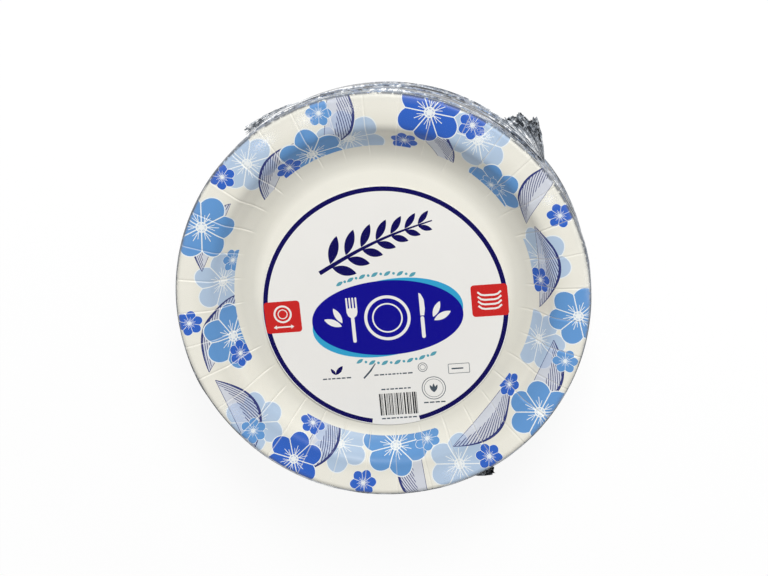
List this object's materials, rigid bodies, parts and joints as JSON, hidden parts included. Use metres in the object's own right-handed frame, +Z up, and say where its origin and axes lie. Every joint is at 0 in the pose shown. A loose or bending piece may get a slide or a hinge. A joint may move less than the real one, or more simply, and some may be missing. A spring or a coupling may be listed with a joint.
{
  "type": "shrink-wrapped stack of paper plates",
  "caption": "Stack of nested round pressed-paper plates with creased rims, a round label card lying in the top plate's well, sealed together in clear shrink film with gathered corners.",
  "frame": {"origin": "centre of the flat base, on the axis of the plates, where the film under the lowest plate meets the surface it stands on", "axes": "+Z up along the plates' axis, out of their wells; +Y towards the head of the label card's print; +X to the right of that print"},
  "size_m": [0.2174, 0.2174, 0.0611],
  "materials": {
    "plate_board": "satin",
    "label_stock": "satin",
    "clear_film": "gloss"
  },
  "bodies": {
    "root": {"plate_01": "plate_board", "plate_02": "plate_board", "plate_03": "plate_board", "plate_04": "plate_board", "plate_05": "plate_board", "plate_06": "plate_board", "plate_07": "plate_board", "plate_08": "plate_board", "plate_09": "plate_board", "plate_10": "plate_board", "plate_11": "plate_board", "plate_12": "plate_board", "plate_13": "plate_board", "plate_14": "plate_board", "plate_15": "plate_board", "plate_16": "plate_board", "plate_17": "plate_board", "plate_18": "plate_board", "plate_19": "plate_board", "plate_20": "plate_board", "plate_21": "plate_board", "plate_22": "plate_board", "plate_23": "plate_board", "plate_24": "plate_board", "plate_25": "plate_board", "plate_26": "plate_board", "plate_27": "plate_board", "plate_28": "plate_board", "plate_29": "plate_board", "plate_30": "plate_board", "plate_31": "plate_board", "plate_32": "plate_board", "plate_33": "plate_board", "plate_34": "plate_board", "plate_35": "plate_board", "plate_36": "plate_board", "plate_37": "plate_board", "plate_38": "plate_board", "plate_39": "plate_board", "plate_40": "plate_board", "label_card": "label_stock", "shrink_film": "clear_film"}
  },
  "joints": []
}
